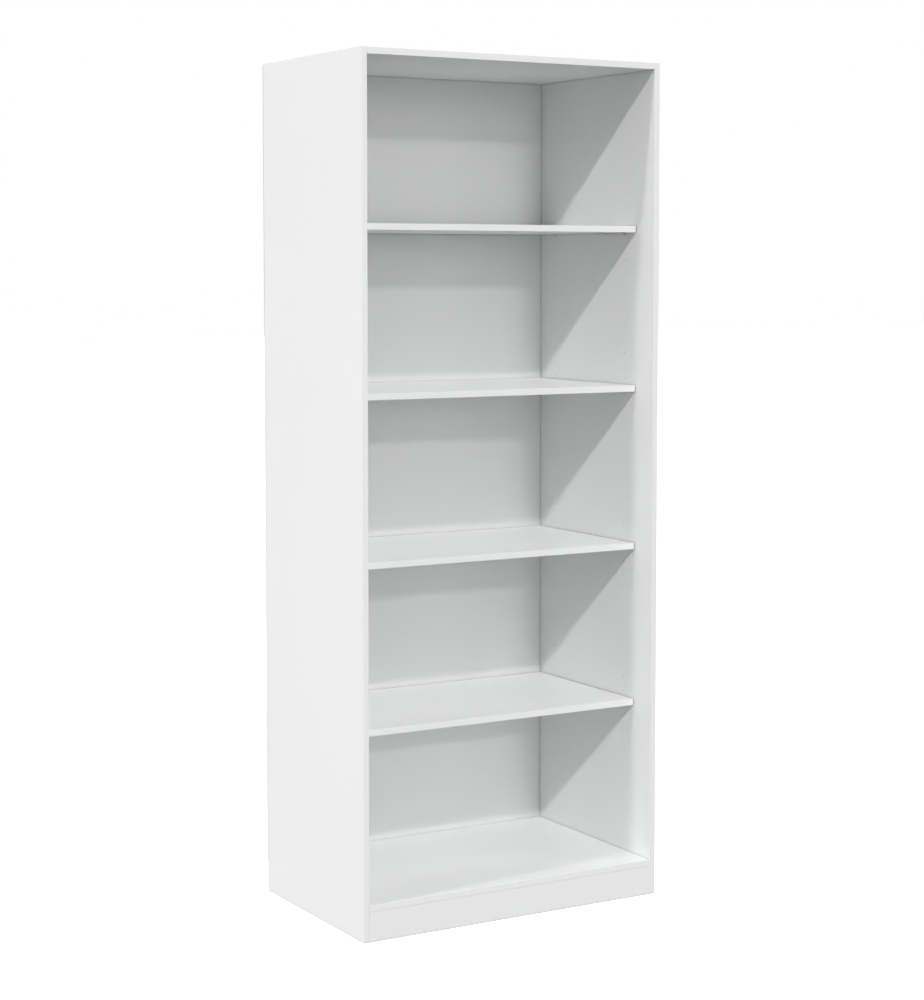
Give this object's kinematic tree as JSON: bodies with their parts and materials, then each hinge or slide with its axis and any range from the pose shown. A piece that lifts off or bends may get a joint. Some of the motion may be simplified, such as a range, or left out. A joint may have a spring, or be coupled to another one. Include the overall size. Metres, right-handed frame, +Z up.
{
  "type": "bookcase",
  "caption": "Tall open bookcase of white coated board: full-height sides, flush plinth, thin back and set-back shelves that lie on pegs and can be moved up or down.",
  "frame": {"origin": "on the floor, in the middle of the case's footprint", "axes": "+Z up; +X to the right for someone facing the open front; the open front looks along -Y and the back sheet is at +Y"},
  "size_m": [0.8, 0.5, 2],
  "materials": {
    "melamine": "chipboard with a smooth matt white melamine face, and a matching edge band on the front edges",
    "hardboard": "thin hardboard, lacquered matt white inside and primed pale grey-white outside",
    "zinc": "die-cast zinc, satin",
    "steel": "bright zinc plating",
    "cap_plastic": "white moulded cap",
    "beech": "plain turned beech",
    "peg": "white coating on steel, semi-gloss"
  },
  "bodies": {
    "carcass": {"side_panel_left": "melamine", "side_panel_right": "melamine", "top_panel": "melamine", "bottom_panel": "melamine", "plinth_front": "melamine", "plinth_rear": "melamine", "back_panel": "hardboard", "cam_bolt_bottom_left_front": "steel", "cam_bolt_bottom_left_rear": "steel", "cam_bolt_bottom_right_front": "steel", "cam_bolt_bottom_right_rear": "steel", "cam_bolt_top_left_front": "steel", "cam_bolt_top_left_rear": "steel", "cam_bolt_top_right_front": "steel", "cam_bolt_top_right_rear": "steel", "cam_cover_left_front": "cap_plastic", "cam_cover_left_rear": "cap_plastic", "cam_cover_right_front": "cap_plastic", "cam_cover_right_rear": "cap_plastic", "cam_lock_bottom_left_front": "zinc", "cam_lock_bottom_left_rear": "zinc", "cam_lock_bottom_right_front": "zinc", "cam_lock_bottom_right_rear": "zinc", "cam_lock_top_left_front": "zinc", "cam_lock_top_left_rear": "zinc", "cam_lock_top_right_front": "zinc", "cam_lock_top_right_rear": "zinc", "dowel_bottom_left": "beech", "dowel_bottom_right": "beech", "dowel_plinth_front_left": "beech", "dowel_plinth_front_right": "beech", "dowel_plinth_rear_left": "beech", "dowel_plinth_rear_right": "beech", "dowel_top_left": "beech", "dowel_top_right": "beech"},
    "shelf_1_pins": {"shelf_1_pin_left_front": "peg", "shelf_1_pin_left_rear": "peg", "shelf_1_pin_right_front": "peg", "shelf_1_pin_right_rear": "peg"},
    "shelf_1": {"shelf_1": "melamine"},
    "shelf_2_pins": {"shelf_2_pin_left_front": "peg", "shelf_2_pin_left_rear": "peg", "shelf_2_pin_right_front": "peg", "shelf_2_pin_right_rear": "peg"},
    "shelf_2": {"shelf_2": "melamine"},
    "shelf_3_pins": {"shelf_3_pin_left_front": "peg", "shelf_3_pin_left_rear": "peg", "shelf_3_pin_right_front": "peg", "shelf_3_pin_right_rear": "peg"},
    "shelf_3": {"shelf_3": "melamine"},
    "shelf_4_pins": {"shelf_4_pin_left_front": "peg", "shelf_4_pin_left_rear": "peg", "shelf_4_pin_right_front": "peg", "shelf_4_pin_right_rear": "peg"},
    "shelf_4": {"shelf_4": "melamine"}
  },
  "joints": [
    {"name": "shelf_1_height", "type": "slide", "parent": "carcass", "child": "shelf_1_pins", "axis": [0, 0, 1], "range_m": [-0.096, 0.096]},
    {"name": "shelf_1_pull_out", "type": "slide", "parent": "shelf_1_pins", "child": "shelf_1", "axis": [0, -1, 0], "range_m": [0, 0.5]},
    {"name": "shelf_2_height", "type": "slide", "parent": "carcass", "child": "shelf_2_pins", "axis": [0, 0, 1], "range_m": [-0.096, 0.096]},
    {"name": "shelf_2_pull_out", "type": "slide", "parent": "shelf_2_pins", "child": "shelf_2", "axis": [0, -1, 0], "range_m": [0, 0.5]},
    {"name": "shelf_3_height", "type": "slide", "parent": "carcass", "child": "shelf_3_pins", "axis": [0, 0, 1], "range_m": [-0.096, 0.096]},
    {"name": "shelf_3_pull_out", "type": "slide", "parent": "shelf_3_pins", "child": "shelf_3", "axis": [0, -1, 0], "range_m": [0, 0.5]},
    {"name": "shelf_4_height", "type": "slide", "parent": "carcass", "child": "shelf_4_pins", "axis": [0, 0, 1], "range_m": [-0.096, 0.096]},
    {"name": "shelf_4_pull_out", "type": "slide", "parent": "shelf_4_pins", "child": "shelf_4", "axis": [0, -1, 0], "range_m": [0, 0.5]}
  ]
}
